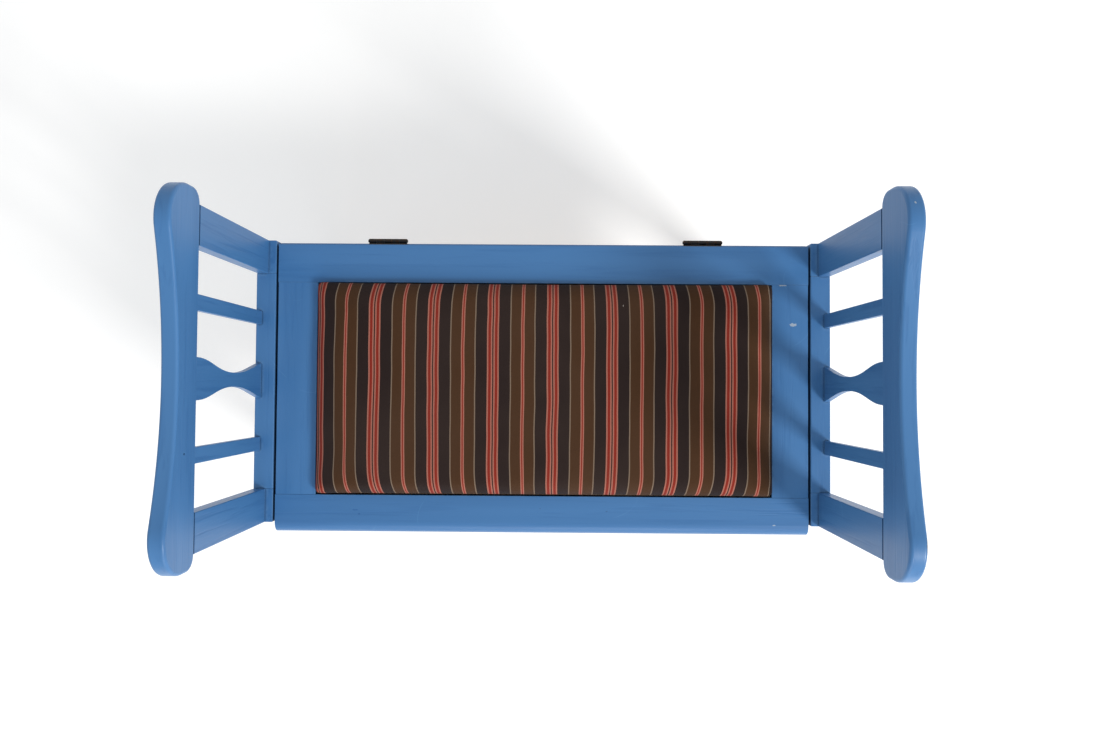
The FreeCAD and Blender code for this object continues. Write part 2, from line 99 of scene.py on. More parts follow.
def nodes_of(material):
    """Clears a material and gives its tree and its Principled shader, joined to the output."""
    material.use_nodes = True
    tree = material.node_tree
    tree.nodes.clear()
    shader = tree.nodes.new("ShaderNodeBsdfPrincipled")
    output = tree.nodes.new("ShaderNodeOutputMaterial")
    tree.links.new(shader.outputs["BSDF"], output.inputs["Surface"])
    return tree, shader


def add(tree, kind, wires=None, **settings):
    """Adds a node; wires maps an input's name or number to a value or to another node's output."""
    made = tree.nodes.new(kind)
    for name, value in settings.items():
        setattr(made, name, value)
    for name, value in (wires or {}).items():
        if isinstance(value, bpy.types.NodeSocket):
            tree.links.new(value, made.inputs[name])
        else:
            made.inputs[name].default_value = value
    return made


def math_of(tree, operation, first, second=0.5, third=None):
    """One step of arithmetic between values or other nodes' outputs."""
    wires = {0: first, 1: second}
    if third is not None:
        wires[2] = third
    return add(tree, "ShaderNodeMath", wires, operation=operation).outputs[0]


def mix_colours(tree, amount, first, second, blend="MIX"):
    """Mixes two colours; the numbers are the Mix node's own colour sockets."""
    return add(tree, "ShaderNodeMix", {0: amount, 6: first, 7: second},
               data_type="RGBA", blend_type=blend).outputs[2]


def ramp(tree, value, low, high):
    """0 below low, 1 above high, smooth between."""
    return add(tree, "ShaderNodeMapRange", {"Value": value, "From Min": low, "From Max": high},
               interpolation_type="SMOOTHSTEP").outputs["Result"]


def object_coordinates(tree):
    return add(tree, "ShaderNodeTexCoord").outputs["Object"]


FLOOR_SIZE = 14.0
FLOOR_GLOW = 0.23

bpy.ops.object.select_all(action="DESELECT")
bpy.ops.mesh.primitive_plane_add(size=FLOOR_SIZE, location=(0.0, 0.0, 0.0))
floor = bpy.context.object
floor.name = "studio_floor"
floor_paint = bpy.data.materials.new("studio_floor")
tree, shader = nodes_of(floor_paint)
patches = add(tree, "ShaderNodeTexNoise", {"Vector": object_coordinates(tree), "Scale": 3.0, "Detail": 4.0})
floor_colour = mix_colours(tree, patches.outputs["Fac"], (0.83, 0.83, 0.82, 1.0), (0.86, 0.86, 0.855, 1.0))
tree.links.new(floor_colour, shader.inputs["Base Color"])
shader.inputs["Roughness"].default_value = 0.85
shader.inputs["Specular IOR Level"].default_value = 0.2
shader.inputs["Emission Color"].default_value = (1.0, 1.0, 1.0, 1.0)
shader.inputs["Emission Strength"].default_value = FLOOR_GLOW
floor.data.materials.append(floor_paint)


# ---------------------------------------------------------------------------------------------
# Legs: four uprights of painted softwood, square below the seat and planed thinner above it.
# The blue paint is an old brushed satin enamel: grain and brush marks stand through it, its
# edges are rubbed and lightened by a painted highlight, grime and painted shade darken the
# corners, and a few chips and dents show.

def new_group(name, inputs, outputs):
    """Node group with named sockets. Inputs map a name to a socket kind and a value."""
    group = bpy.data.node_groups.new(name, "ShaderNodeTree")
    for socket_name, (kind, value) in inputs.items():
        socket = group.interface.new_socket(socket_name, in_out="INPUT", socket_type=kind)
        if value is not None:
            socket.default_value = value
    for socket_name, kind in outputs.items():
        group.interface.new_socket(socket_name, in_out="OUTPUT", socket_type=kind)
    return group, group.nodes.new("NodeGroupInput"), group.nodes.new("NodeGroupOutput")


def make_grain_group():
    """Wood grain and brush marks. The vector comes in already squeezed along the grain."""
    group, given, result = new_group(
        "grain_under_paint",
        {"Vector": ("NodeSocketVector", None), "Fineness": ("NodeSocketFloat", 150.0)},
        {"Grain": "NodeSocketFloat", "Brush": "NodeSocketFloat", "Tone": "NodeSocketFloat"})
    vector = given.outputs["Vector"]
    lines = add(group, "ShaderNodeTexNoise", {"Vector": vector, "Scale": given.outputs["Fineness"],
                                              "Detail": 3.0, "Roughness": 0.6, "Distortion": 0.4})
    group.links.new(ramp(group, lines.outputs["Fac"], 0.50, 0.68), result.inputs["Grain"])
    fine = math_of(group, "MULTIPLY", given.outputs["Fineness"], 3.1)
    brush = add(group, "ShaderNodeTexNoise", {"Vector": vector, "Scale": fine, "Detail": 2.0})
    group.links.new(brush.outputs["Fac"], result.inputs["Brush"])
    tone = add(group, "ShaderNodeTexNoise", {"Vector": vector, "Scale": 22.0, "Detail": 2.0})
    group.links.new(ramp(group, tone.outputs["Fac"], 0.3, 0.7), result.inputs["Tone"])
    return group


def make_knocks_group():
    """Sparse dents, dark specks and fine scratches, as masks between 0 and 1."""
    group, given, result = new_group(
        "knocks",
        {"Vector": ("NodeSocketVector", None), "Share": ("NodeSocketFloat", 0.10)},
        {"Dents": "NodeSocketFloat", "Specks": "NodeSocketFloat", "Scratches": "NodeSocketFloat"})
    wobble = add(group, "ShaderNodeTexNoise", {"Vector": given.outputs["Vector"], "Scale": 160.0})
    moved = add(group, "ShaderNodeVectorMath", {0: wobble.outputs["Color"], 1: (0.006, 0.006, 0.006)},
                operation="MULTIPLY")
    place = add(group, "ShaderNodeVectorMath", {0: given.outputs["Vector"], 1: moved.outputs[0]},
                operation="ADD")
    for name, scale, size in (("Dents", 24.0, 0.13), ("Specks", 46.0, 0.055)):
        cells = add(group, "ShaderNodeTexVoronoi", {"Vector": place.outputs[0], "Scale": scale})
        pick = add(group, "ShaderNodeSeparateColor", {0: cells.outputs["Color"]})
        kept = math_of(group, "LESS_THAN", pick.outputs[0], given.outputs["Share"])
        near = math_of(group, "SUBTRACT", 1.0, ramp(group, cells.outputs["Distance"], size * 0.4, size))
        group.links.new(math_of(group, "MULTIPLY", near, kept), result.inputs[name])
    drawn = add(group, "ShaderNodeTexNoise", {"Vector": given.outputs["Vector"], "Scale": 9.0, "Detail": 0.0})
    off_line = math_of(group, "ABSOLUTE", math_of(group, "SUBTRACT", drawn.outputs["Fac"], 0.5))
    line = math_of(group, "SUBTRACT", 1.0, ramp(group, off_line, 0.0008, 0.0040))
    broken = add(group, "ShaderNodeTexNoise", {"Vector": given.outputs["Vector"], "Scale": 17.0,
                                               "Detail": 3.0})
    group.links.new(math_of(group, "MULTIPLY", line, ramp(group, broken.outputs["Fac"], 0.55, 0.65)),
                    result.inputs["Scratches"])
    return group


def make_edges_group():
    """Edges rubbed and lightened by a painted highlight, from the bevelled normal; grime and painted
    shade, and ridges of paint, in corners, from occlusion.
    """
    group, given, result = new_group(
        "edge_wear_highlight_dirt_and_shade",
        {"Vector": ("NodeSocketVector", None), "Edge Width": ("NodeSocketFloat", 0.0022),
         "Occlusion Reach": ("NodeSocketFloat", 0.006)},
        {"Rubbed And Highlit": "NodeSocketFloat", "Dirt And Shade": "NodeSocketFloat", "Ridge": "NodeSocketFloat"})
    # The rubbed edges are lightened as a painted highlight as well as by wear.
    soft = add(group, "ShaderNodeBevel", {"Radius": given.outputs["Edge Width"]}, samples=6)
    plain = add(group, "ShaderNodeNewGeometry")
    turned = add(group, "ShaderNodeVectorMath", {0: soft.outputs["Normal"], 1: plain.outputs["Normal"]},
                 operation="DOT_PRODUCT")
    edge = ramp(group, math_of(group, "SUBTRACT", 1.0, turned.outputs["Value"]), 0.02, 0.25)
    uneven = add(group, "ShaderNodeTexNoise", {"Vector": given.outputs["Vector"], "Scale": 70.0,
                                               "Detail": 4.0})
    group.links.new(math_of(group, "MULTIPLY", edge, ramp(group, uneven.outputs["Fac"], 0.35, 0.75)),
                    result.inputs["Rubbed And Highlit"])
    # Occlusion darkens the corners and creases: painted shade together with dirt.
    shade = add(group, "ShaderNodeAmbientOcclusion", {"Distance": given.outputs["Occlusion Reach"]}, samples=8)
    dirt_and_shade = math_of(group, "SUBTRACT", 1.0, ramp(group, shade.outputs["AO"], 0.25, 0.8))
    group.links.new(dirt_and_shade, result.inputs["Dirt And Shade"])
    beside = math_of(group, "MULTIPLY", ramp(group, shade.outputs["AO"], 0.60, 0.74),
                     math_of(group, "SUBTRACT", 1.0, ramp(group, shade.outputs["AO"], 0.80, 0.92)))
    group.links.new(math_of(group, "MULTIPLY", beside, ramp(group, uneven.outputs["Fac"], 0.40, 0.60)),
                    result.inputs["Ridge"])
    return group


grain_group = make_grain_group()
knocks_group = make_knocks_group()
edges_group = make_edges_group()

PAINT_LIGHT = (0.055, 0.174, 0.384, 1.0)
PAINT_DARK = (0.042, 0.148, 0.342, 1.0)
PAINT_GRAIN = (0.020, 0.100, 0.270, 1.0)
# Lighter paint on the edges: rubbed wear and a painted highlight.
PAINT_RUBBED_AND_HIGHLIGHT = (0.080, 0.220, 0.440, 1.0)
PAINT_RIDGE = (0.115, 0.250, 0.450, 1.0)
PAINT_CHIP = (0.36, 0.42, 0.48, 1.0)
# Near black: dirt, specks and cracks, and painted shade in the corners.
PAINT_DIRT_AND_SHADE = (0.012, 0.026, 0.055, 1.0)
SQUEEZE = 0.05      # grain is this much longer than it is wide
ALONG_X = (SQUEEZE, 1.0, 1.0)
ALONG_Y = (1.0, SQUEEZE, 1.0)
ALONG_Z = (1.0, 1.0, SQUEEZE)
# How strongly each kind of wear, painted highlight and painted shade shows in the paint
RUBBED_AND_HIGHLIGHT_SHOWS = 0.55
SPECKS_SHOW = 0.8
DIRT_AND_SHADE_SHOWS = 0.75
RIDGE_SHOWS = 0.45
SCRATCHES_SHOW = 0.4
MARK_SHOWS = 0.85


def blue_paint(name, along, fineness=150.0, grain_show=0.2, marks=()):
    """Old blue enamel on wood whose grain runs one way. Each mark has a place, half sizes and a colour."""
    material = bpy.data.materials.new(name)
    tree, shader = nodes_of(material)
    place = object_coordinates(tree)
    squeezed = add(tree, "ShaderNodeMapping", {"Vector": place, "Scale": along})
    grain = add(tree, "ShaderNodeGroup", node_tree=grain_group)
    tree.links.new(squeezed.outputs["Vector"], grain.inputs["Vector"])
    grain.inputs["Fineness"].default_value = fineness
    knocks = add(tree, "ShaderNodeGroup", node_tree=knocks_group)
    tree.links.new(place, knocks.inputs["Vector"])
    edges = add(tree, "ShaderNodeGroup", node_tree=edges_group)
    tree.links.new(place, edges.inputs["Vector"])

    colour = mix_colours(tree, grain.outputs["Tone"], PAINT_DARK, PAINT_LIGHT)
    grain_mask = math_of(tree, "MULTIPLY", grain.outputs["Grain"], grain_show)
    colour = mix_colours(tree, grain_mask, colour, PAINT_GRAIN)
    # The rubbed edges carry a painted highlight, and the corner darkening is painted shade with dirt.
    for mask, shows, wear_colour in ((edges.outputs["Rubbed And Highlit"], RUBBED_AND_HIGHLIGHT_SHOWS, PAINT_RUBBED_AND_HIGHLIGHT),
                                     (knocks.outputs["Specks"], SPECKS_SHOW, PAINT_DIRT_AND_SHADE),
                                     (edges.outputs["Dirt And Shade"], DIRT_AND_SHADE_SHOWS, PAINT_DIRT_AND_SHADE),
                                     (edges.outputs["Ridge"], RIDGE_SHOWS, PAINT_RIDGE),
                                     (knocks.outputs["Scratches"], SCRATCHES_SHOW, PAINT_RUBBED_AND_HIGHLIGHT)):
        colour = mix_colours(tree, math_of(tree, "MULTIPLY", mask, shows), colour, wear_colour)
    for mark_place, half_sizes, mark_colour in marks:
        away = add(tree, "ShaderNodeVectorMath", {0: place, 1: mark_place}, operation="SUBTRACT")
        shrunk = add(tree, "ShaderNodeVectorMath", {0: away.outputs[0], 1: half_sizes}, operation="DIVIDE")
        reach = add(tree, "ShaderNodeVectorMath", {0: shrunk.outputs[0]}, operation="LENGTH")
        ragged = add(tree, "ShaderNodeTexNoise", {"Vector": place, "Scale": 420.0, "Detail": 3.0})
        edge_of_mark = math_of(tree, "MULTIPLY", ragged.outputs["Fac"], 2.0)
        mark = math_of(tree, "LESS_THAN", reach.outputs["Value"], edge_of_mark)
        colour = mix_colours(tree, math_of(tree, "MULTIPLY", mark, MARK_SHOWS), colour, mark_colour)
    tree.links.new(colour, shader.inputs["Base Color"])

    height = math_of(tree, "MULTIPLY", grain.outputs["Grain"], -0.5)
    height = math_of(tree, "MULTIPLY_ADD", grain.outputs["Brush"], 0.35, height)
    height = math_of(tree, "MULTIPLY_ADD", knocks.outputs["Dents"], -1.6, height)
    height = math_of(tree, "MULTIPLY_ADD", edges.outputs["Ridge"], 0.8, height)
    bump = add(tree, "ShaderNodeBump", {"Strength": 0.5, "Distance": 0.0004, "Height": height})
    tree.links.new(bump.outputs["Normal"], shader.inputs["Normal"])
    rough = math_of(tree, "MULTIPLY_ADD", grain.outputs["Brush"], 0.16, 0.30)
    rough = math_of(tree, "MULTIPLY_ADD", edges.outputs["Dirt And Shade"], 0.3, rough)
    tree.links.new(rough, shader.inputs["Roughness"])
    shader.inputs["Specular IOR Level"].default_value = 0.36
    shader.inputs["Coat Weight"].default_value = 0.05
    shader.inputs["Coat Roughness"].default_value = 0.22
    return material


def finish_with(material, *names):
    """Gives CAD nodes their finish."""
    for name in names:
        cad_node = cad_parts[name]
        cad_node.data.materials.clear()
        cad_node.data.materials.append(material)


upright_paint = blue_paint("blue_paint_upright", ALONG_Z, fineness=120.0, grain_show=0.35)
finish_with(upright_paint, "leg_front_left", "leg_front_right", "leg_back_left", "leg_back_right")


# ---------------------------------------------------------------------------------------------
# End rails: deep softwood boards tenoned between the legs and painted like them. Their top edges
# lie level with the lid and carry the feet of the slats.

depth_paint = blue_paint("blue_paint_depth", ALONG_Y, fineness=130.0)
finish_with(depth_paint, "end_rail_left", "end_rail_right")


# ---------------------------------------------------------------------------------------------
# Crest rails: the saddle-shaped tops of the arms, sawn from board, well rounded by hand and
# painted. A dark crack and a small chip sit at the ends of the right one.

crest_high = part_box("crest_rail_right")[1]
crest_marks = (((crest_high.x - 0.001, -0.158, crest_high.z - 0.006), (0.0009, 0.0110, 0.008), PAINT_DIRT_AND_SHADE),
               ((crest_high.x - 0.010, 0.178, crest_high.z), (0.0016, 0.0014, 0.006), PAINT_CHIP))
crest_paint = blue_paint("blue_paint_crest", ALONG_Y, fineness=130.0, grain_show=0.25, marks=crest_marks)
finish_with(crest_paint, "crest_rail_left", "crest_rail_right")


# ---------------------------------------------------------------------------------------------
# Splats and slats: thin board, the splats fretsawn to a waist, tenoned into the crest rails and
# the end rails and painted with the uprights.

finish_with(upright_paint, "splat_left", "splat_right")
finish_with(upright_paint, "slat_front_left", "slat_front_right", "slat_back_left", "slat_back_right")


# ---------------------------------------------------------------------------------------------
# Front and back boards: softwood boards along the box, tenoned into the legs and painted with
# the rest, inside as well as outside.

length_paint = blue_paint("blue_paint_length", ALONG_X, fineness=110.0)
finish_with(length_paint, "front_board", "back_board")


# ---------------------------------------------------------------------------------------------
# Box floor: three bare pine planks laid on four bare strips that are screwed to the boards.
# Never painted, dry and a little dusty.

def bare_wood(name, along, light, dark):
    """Unpainted pine with growth rings and a dusty, dry surface."""
    material = bpy.data.materials.new(name)
    tree, shader = nodes_of(material)
    place = object_coordinates(tree)
    squeezed = add(tree, "ShaderNodeMapping", {"Vector": place, "Scale": along})
    rings = add(tree, "ShaderNodeTexNoise", {"Vector": squeezed.outputs["Vector"], "Scale": 60.0,
                                             "Detail": 5.0, "Distortion": 1.2})
    fibre = add(tree, "ShaderNodeTexNoise", {"Vector": squeezed.outputs["Vector"], "Scale": 520.0,
                                             "Detail": 2.0})
    colour = mix_colours(tree, ramp(tree, rings.outputs["Fac"], 0.36, 0.62), light, dark)
    colour = mix_colours(tree, math_of(tree, "MULTIPLY", fibre.outputs["Fac"], 0.35), colour, dark)
    tree.links.new(colour, shader.inputs["Base Color"])
    height = math_of(tree, "MULTIPLY_ADD", rings.outputs["Fac"], 0.6, fibre.outputs["Fac"])
    bump = add(tree, "ShaderNodeBump", {"Strength": 0.5, "Distance": 0.0003, "Height": height})
    tree.links.new(bump.outputs["Normal"], shader.inputs["Normal"])
    tree.links.new(math_of(tree, "MULTIPLY_ADD", fibre.outputs["Fac"], 0.2, 0.6), shader.inputs["Roughness"])
    shader.inputs["Specular IOR Level"].default_value = 0.3
    return material


plank_wood = bare_wood("bare_pine_planks", ALONG_X, (0.56, 0.38, 0.21, 1.0), (0.36, 0.21, 0.10, 1.0))
end_cleat_wood = bare_wood("bare_pine_cleats", ALONG_Y, (0.50, 0.33, 0.18, 1.0), (0.33, 0.19, 0.09, 1.0))
finish_with(plank_wood, "floor_plank_1", "floor_plank_2", "floor_plank_3", "cleat_front", "cleat_back")
finish_with(end_cleat_wood, "cleat_left", "cleat_right")


# ---------------------------------------------------------------------------------------------
# Lid frame: two long rails and two short stiles, butted, dowelled and painted. The front rail
# has a rounded nose. The right stile is chipped where the arm has rubbed it.

lid_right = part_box("lid_stile_right")[1]
lid_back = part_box("lid_rail_back")[1]
lid_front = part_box("lid_rail_front")[0]
stile_marks = (((lid_right.x - 0.020, 0.078, lid_right.z), (0.0042, 0.0022, 0.004), PAINT_CHIP),
               ((lid_right.x - 0.034, 0.130, lid_right.z), (0.0045, 0.0009, 0.004), PAINT_CHIP))
rail_marks = (((lid_right.x - 0.594, lid_front.y + 0.030, lid_right.z), (0.0036, 0.0008, 0.004), PAINT_GRAIN),
              ((lid_right.x - 0.589, lid_front.y + 0.025, lid_right.z), (0.0014, 0.0012, 0.004), PAINT_GRAIN),
              ((lid_right.x - 0.045, lid_front.y + 0.014, lid_right.z), (0.0022, 0.0007, 0.004), PAINT_CHIP))
finish_with(blue_paint("blue_paint_lid", ALONG_X, fineness=110.0, marks=rail_marks),
            "lid_rail_front", "lid_rail_back")
finish_with(blue_paint("blue_paint_stiles", ALONG_Y, fineness=130.0, marks=stile_marks),
            "lid_stile_left", "lid_stile_right")
finish_with(plank_wood, "lid_dowels", "pad_board")


# ---------------------------------------------------------------------------------------------
# Seat pad: a stuffed pad on the drop-in board, covered in a woven stripe that runs from front to
# back and is pulled down tight over all four sides. Its upper edges roll over, its corners are square.

pad_low, pad_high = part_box("seat_pad")
pad_middle = (pad_low + pad_high) / 2
pad_size = pad_high - pad_low
PAD_SWELL = 0.005           # the pressed cloth may stand this far out of the cut shape
PAD_ROLL = 0.015            # round of the upper edges
PAD_CORNER = 0.004          # round of the upright corners
PAD_CROWN = 0.002           # the top falls this much from its middle to its edges
PAD_BELLY = 0.0015          # how far the sides lean out over the lid frame
PAD_BELLY_RIGHT = 0.0025
PAD_BELLY_BACK = 0.0035
PAD_BELLY_HEIGHT = 0.018    # height of the lean above the frame
PAD_VOXEL = 0.0045
PAD_FOOT = 0.0015           # the cloth is held up to this height above the lid frame
PAD_DRAWN_IN = 0.016        # share by which the cloth is drawn in along its front and back edges
PAD_DRAWN_REACH = 0.030     # how far from those edges the pull is felt

bpy.ops.object.select_all(action="DESELECT")
bpy.ops.mesh.primitive_cube_add(size=1.0, location=pad_middle)
pad = bpy.context.object
pad.name = "striped_pad"
bpy.ops.object.transform_apply(location=True, rotation=True, scale=True)


def select_edges(piece, wanted):
    """Selects, in edit mode, the edges whose middle passes the test."""
    shape = bmesh.from_edit_mesh(piece.data)
    for mesh_edge in shape.edges:
        mesh_edge.select_set(wanted((mesh_edge.verts[0].co + mesh_edge.verts[1].co) / 2))
    shape.select_flush_mode()
    bmesh.update_edit_mesh(piece.data)


bpy.ops.object.mode_set(mode="EDIT")
bpy.ops.mesh.select_mode(type="EDGE")
bpy.ops.mesh.select_all(action="SELECT")
bpy.ops.transform.resize(value=(pad_size.x, pad_size.y, pad_size.z - PAD_SWELL), center_override=pad_middle)
bpy.ops.transform.translate(value=(0.0, 0.0, -PAD_SWELL / 2))
cut_top = pad_high.z - PAD_SWELL
select_edges(pad, lambda middle: pad_low.z + 0.001 < middle.z < cut_top - 0.001)
bpy.ops.mesh.bevel(offset=PAD_CORNER, segments=3, profile=0.5)
select_edges(pad, lambda middle: middle.z > cut_top - 0.0001)
bpy.ops.mesh.bevel(offset=PAD_ROLL, segments=6, profile=0.5)
bpy.ops.object.mode_set(mode="OBJECT")


def shape_with_modifier(piece, kind, **settings):
    """Adds a modifier with these settings and applies it."""
    bpy.context.view_layer.objects.active = piece
    modifier = piece.modifiers.new(kind.lower(), kind)
    for name, value in settings.items():
        setattr(modifier, name, value)
    bpy.ops.object.modifier_apply(modifier=modifier.name)


def points_of(piece):
    """Places of a piece's vertices, one row each."""
    places = np.empty(len(piece.data.vertices) * 3)
    piece.data.vertices.foreach_get("co", places)
    return places.reshape(-1, 3)


def set_points(piece, places):
    """Puts the vertices at new places."""
    piece.data.vertices.foreach_set("co", places.ravel())
    piece.data.update()


shape_with_modifier(pad, "REMESH", mode="VOXEL", voxel_size=PAD_VOXEL)

# The top is crowned: full in the middle, falling gently towards the sides
places = points_of(pad)
half = np.array([pad_size.x / 2, pad_size.y / 2])
from_middle = places[:, :2] - np.array([pad_middle.x, pad_middle.y])
reach = np.clip(np.abs(from_middle) / half, 0, 1)
crown = (1 - reach[:, 0] ** 8) * (1 - reach[:, 1] ** 4)
upper = np.clip((places[:, 2] - pad_low.z) / pad_size.z, 0, 1)
places[:, 2] -= PAD_CROWN * (1 - crown) * upper
# Its sides lean out over the lid frame, most of all at the back and at the right
belly = np.sin(np.pi * np.clip((places[:, 2] - seat_top - 0.001) / PAD_BELLY_HEIGHT, 0, 1))
lean = np.clip(np.abs(from_middle) / half, 0, 1) ** 16 * belly[:, None]
places[:, 0] += lean[:, 0] * np.where(from_middle[:, 0] > 0, PAD_BELLY_RIGHT, -PAD_BELLY)
places[:, 1] += lean[:, 1] * np.where(from_middle[:, 1] > 0, PAD_BELLY_BACK, -PAD_BELLY)
set_points(pad, places)

# Each point keeps its place on the cloth, measured over the rolled ends and down their sides
across = from_middle[:, 0]
over_roll = np.clip(np.abs(across) - (half[0] - PAD_ROLL), 0, PAD_ROLL)
round_roll = PAD_ROLL * np.arcsin(over_roll / PAD_ROLL) - over_roll
down_side = np.where(over_roll > 0.98 * PAD_ROLL, np.clip(cut_top - PAD_ROLL - places[:, 2], 0, None), 0.0)
pulled = np.clip((np.abs(from_middle[:, 1]) - half[1] + PAD_DRAWN_REACH) / PAD_DRAWN_REACH, 0, 1) ** 2
on_cloth = (across + np.sign(across) * (round_roll + down_side)) * (1 + PAD_DRAWN_IN * pulled)
cloth = np.stack([on_cloth, from_middle[:, 1], places[:, 2]], axis=1)
cloth_place = pad.data.attributes.new("cloth_place", "FLOAT_VECTOR", "POINT")
cloth_place.data.foreach_set("vector", cloth.ravel())


def evened(piece, shift, rounds):
    """Averages each point's shift with its neighbours', as tightly drawn cloth spreads its wrinkles."""
    ends = np.empty(len(piece.data.edges) * 2, dtype=np.int64)
    piece.data.edges.foreach_get("vertices", ends)
    first, second = ends.reshape(-1, 2).T
    tips = np.concatenate([first, second])
    others = np.concatenate([second, first])
    count = np.bincount(tips, minlength=len(shift))[:, None]
    for _ in range(rounds):
        summed = [np.bincount(tips, shift[others, axis], minlength=len(shift)) for axis in range(3)]
        shift = np.stack(summed, axis=1) / np.maximum(count, 1)
    return shift


EVEN_ROUNDS = 40            # rounds of averaging after the simulation
FOOT_BLEND = 0.004          # height over which the swelling sets in above the held foot


def stuff(piece, held_below, pressure, frames, cap):
    """Presses the cloth out from inside by simulation. What lies below a height is held, and no
    point moves further than the cap."""
    start = points_of(piece)
    held = piece.vertex_groups.new(name="held")
    held.add([int(i) for i in np.nonzero(start[:, 2] < held_below)[0]], 1.0, "REPLACE")
    modifier = piece.modifiers.new("stuffing", "CLOTH")
    settings = modifier.settings
    settings.quality = 6
    settings.mass = 0.3
    settings.use_pressure = True
    settings.uniform_pressure_force = pressure
    settings.effector_weights.gravity = 0.0
    settings.tension_stiffness = 25.0
    settings.compression_stiffness = 25.0
    settings.bending_stiffness = 15.0
    settings.vertex_group_mass = held.name
    modifier.point_cache.frame_start = 1
    modifier.point_cache.frame_end = frames
    for step in range(1, frames + 1):
        bpy.context.scene.frame_set(step)
    evaluated = piece.evaluated_get(bpy.context.evaluated_depsgraph_get())
    moved = np.empty(len(evaluated.data.vertices) * 3)
    evaluated.data.vertices.foreach_get("co", moved)
    piece.modifiers.remove(modifier)
    piece.vertex_groups.remove(held)
    shift = evened(piece, moved.reshape(-1, 3) - start, rounds=EVEN_ROUNDS)
    length = np.linalg.norm(shift, axis=1, keepdims=True)
    shift *= np.minimum(1.0, cap / np.maximum(length, 1e-9))
    # No swelling at the held foot, all of it from a few millimetres above
    shift *= np.clip((start[:, 2:] - held_below) / FOOT_BLEND, 0, 1)
    set_points(piece, start + shift)
    bpy.context.scene.frame_set(1)


stuff(pad, held_below=seat_top + PAD_FOOT, pressure=4.0, frames=20, cap=PAD_SWELL)
shape_with_modifier(pad, "SMOOTH", factor=0.5, iterations=2)
shape_with_modifier(pad, "SUBSURF", levels=1, render_levels=1)
bpy.ops.object.select_all(action="DESELECT")
pad.select_set(True)
bpy.context.view_layer.objects.active = pad
bpy.ops.object.shade_smooth()

# The stripe, as a weaver sets it up: how many warp threads of each colour, from the middle of a
# red pair to the middle of the next thin red line. The other half is the same backwards.
RED = (0.225, 0.019, 0.010, 1.0)
PINK = (0.360, 0.130, 0.092, 1.0)
BLACK_BROWN = (0.018, 0.0098, 0.0085, 1.0)
BROWN = (0.057, 0.024, 0.0088, 1.0)
BEIGE = (0.190, 0.135, 0.095, 1.0)
half_stripe = [(BLACK_BROWN, 2), (PINK, 4), (RED, 8), (PINK, 4), (BLACK_BROWN, 34), (BEIGE, 3),
               (BROWN, 30), (PINK, 3), (RED, 2)]
stripe = half_stripe + half_stripe[::-1]
total = sum(threads for colour, threads in stripe)
STRIPE_REPEAT = 0.0768
STRIPE_START = 0.0137 - pad_middle.x     # middle of a red pair, from the pad's middle
THREAD_ACROSS = 2 * STRIPE_REPEAT / total     # the warp lies in pairs
THREAD_ALONG = 0.00070

cloth_material = bpy.data.materials.new("striped_cloth")
tree, shader = nodes_of(cloth_material)
woven = add(tree, "ShaderNodeAttribute", attribute_name="cloth_place")
parts = add(tree, "ShaderNodeSeparateXYZ", {0: woven.outputs["Vector"]})
wander = add(tree, "ShaderNodeTexNoise", {"Vector": woven.outputs["Vector"], "Scale": 14.0, "Detail": 1.0})
strayed = math_of(tree, "MULTIPLY_ADD", math_of(tree, "SUBTRACT", wander.outputs["Fac"], 0.5), 0.003,
                  parts.outputs["X"])
turns = math_of(tree, "DIVIDE", math_of(tree, "SUBTRACT", strayed, STRIPE_START), STRIPE_REPEAT)
band = add(tree, "ShaderNodeValToRGB", {"Fac": math_of(tree, "FRACT", turns)})
band.color_ramp.interpolation = "CONSTANT"
counted = 0
for index, (colour, threads) in enumerate(stripe):
    stop = band.color_ramp.elements[0] if index == 0 else band.color_ramp.elements.new(counted / total)
    stop.position = counted / total
    stop.color = colour
    counted += threads
band.color_ramp.elements.remove(band.color_ramp.elements[-1])


def thread_wave(tree, value, pitch):
    """A rounded thread profile from 0 to 1, one for each pitch."""
    angle = math_of(tree, "MULTIPLY", value, math.pi / pitch)
    return math_of(tree, "ABSOLUTE", math_of(tree, "SINE", angle))


warp = thread_wave(tree, parts.outputs["X"], THREAD_ACROSS)
weft_place = math_of(tree, "ADD", parts.outputs["Y"], parts.outputs["Z"])
weft = thread_wave(tree, weft_place, THREAD_ALONG)
weave = math_of(tree, "MULTIPLY", warp, weft)
drawn_out = add(tree, "ShaderNodeMapping", {"Vector": woven.outputs["Vector"], "Scale": (1.0, 0.06, 1.0)})
slub = add(tree, "ShaderNodeTexNoise", {"Vector": drawn_out.outputs["Vector"], "Scale": 700.0, "Detail": 2.0})
shade_mask = math_of(tree, "MULTIPLY_ADD", weave, 0.35, math_of(tree, "MULTIPLY", slub.outputs["Fac"], 0.3))
colour = mix_colours(tree, shade_mask, band.outputs["Color"], (0.5, 0.5, 0.5, 1.0), "SOFT_LIGHT")
fade = add(tree, "ShaderNodeTexNoise", {"Vector": woven.outputs["Vector"], "Scale": 7.0, "Detail": 3.0})
colour = mix_colours(tree, math_of(tree, "MULTIPLY", ramp(tree, fade.outputs["Fac"], 0.4, 0.7), 0.08), colour,
                     (0.12, 0.08, 0.06, 1.0))
stretched = add(tree, "ShaderNodeMapping", {"Vector": woven.outputs["Vector"], "Scale": (1.0, 0.35, 1.0)})
lint_cells = add(tree, "ShaderNodeTexVoronoi", {"Vector": stretched.outputs["Vector"], "Scale": 40.0})
lint_pick = add(tree, "ShaderNodeSeparateColor", {0: lint_cells.outputs["Color"]})
lint = math_of(tree, "MULTIPLY", math_of(tree, "LESS_THAN", lint_cells.outputs["Distance"], 0.028),
               math_of(tree, "LESS_THAN", lint_pick.outputs[0], 0.12))
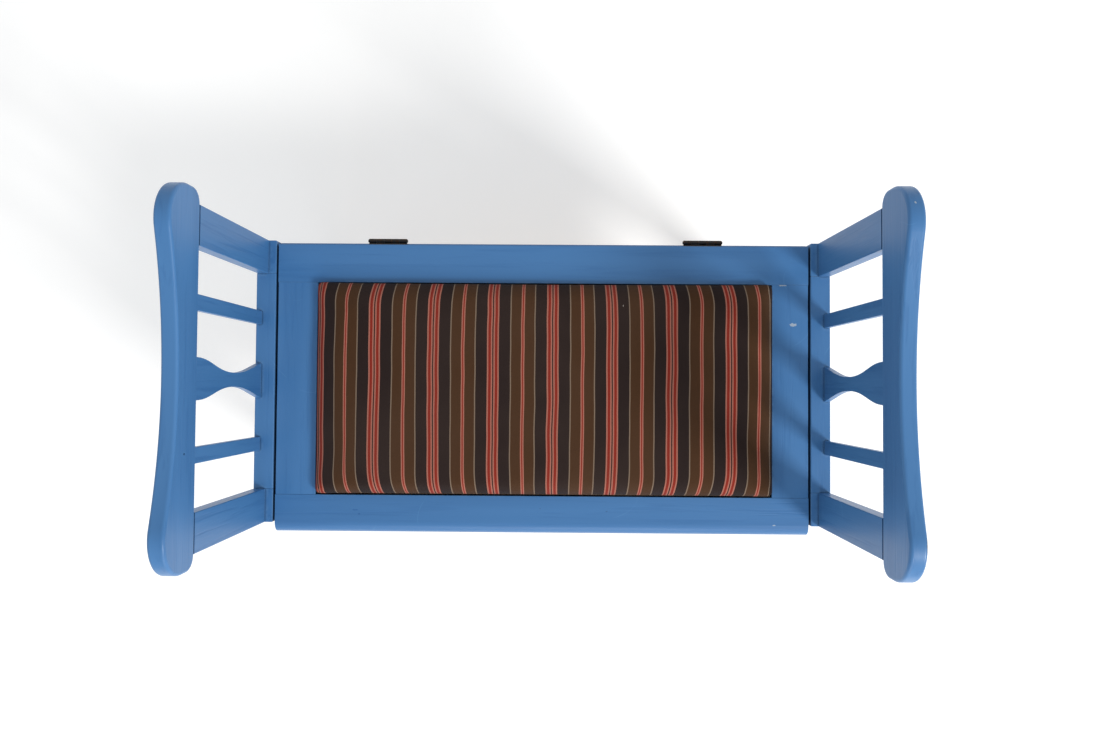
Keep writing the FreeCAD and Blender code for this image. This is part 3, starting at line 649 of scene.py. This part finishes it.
colour = mix_colours(tree, math_of(tree, "MULTIPLY", lint, 0.6), colour, (0.45, 0.40, 0.36, 1.0))
tree.links.new(colour, shader.inputs["Base Color"])
cloth_height = math_of(tree, "MULTIPLY_ADD", slub.outputs["Fac"], 0.5, weave)
cloth_bump = add(tree, "ShaderNodeBump", {"Strength": 0.6, "Distance": 0.0003, "Height": cloth_height})
tree.links.new(cloth_bump.outputs["Normal"], shader.inputs["Normal"])
tree.links.new(math_of(tree, "MULTIPLY_ADD", slub.outputs["Fac"], 0.12, 0.78), shader.inputs["Roughness"])
shader.inputs["Specular IOR Level"].default_value = 0.15
shader.inputs["Sheen Weight"].default_value = 0.04
shader.inputs["Sheen Roughness"].default_value = 0.5
pad.data.materials.clear()
pad.data.materials.append(cloth_material)
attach(pad, "lid")
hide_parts("seat_pad")


# ---------------------------------------------------------------------------------------------
# Hinges and screws: two iron butt hinges, oiled and nearly black, screwed to the lid and to the
# back board with dull steel wood screws. Longer screws of that steel hold the strips in the box.

def worn_metal(name, dark, bare, rough):
    """Metal with a dark worn skin that is rubbed bright on its edges."""
    material = bpy.data.materials.new(name)
    tree, shader = nodes_of(material)
    place = object_coordinates(tree)
    edges = add(tree, "ShaderNodeGroup", node_tree=edges_group)
    tree.links.new(place, edges.inputs["Vector"])
    edges.inputs["Edge Width"].default_value = 0.0008
    blotch = add(tree, "ShaderNodeTexNoise", {"Vector": place, "Scale": 260.0, "Detail": 5.0})
    colour = mix_colours(tree, ramp(tree, blotch.outputs["Fac"], 0.5, 0.7), dark, (0.085, 0.040, 0.020, 1.0))
    colour = mix_colours(tree, edges.outputs["Rubbed And Highlit"], colour, bare)
    tree.links.new(colour, shader.inputs["Base Color"])
    bump = add(tree, "ShaderNodeBump", {"Strength": 0.35, "Distance": 0.0002,
                                        "Height": blotch.outputs["Fac"]})
    tree.links.new(bump.outputs["Normal"], shader.inputs["Normal"])
    roughness = math_of(tree, "MULTIPLY_ADD", blotch.outputs["Fac"], 0.3, rough)
    tree.links.new(roughness, shader.inputs["Roughness"])
    shader.inputs["Metallic"].default_value = 0.85
    return material


hinge_iron = worn_metal("hinge_iron", (0.045, 0.040, 0.036, 1.0), (0.22, 0.20, 0.18, 1.0), 0.35)
screw_steel = worn_metal("screw_steel", (0.20, 0.185, 0.17, 1.0), (0.45, 0.43, 0.40, 1.0), 0.25)
for side in ("left", "right"):
    finish_with(hinge_iron, "hinge_leaf_lid_" + side, "hinge_leaf_fixed_" + side, "hinge_pin_" + side)
finish_with(screw_steel, "hinge_screws_lid", "hinge_screws_fixed", "cleat_screws")
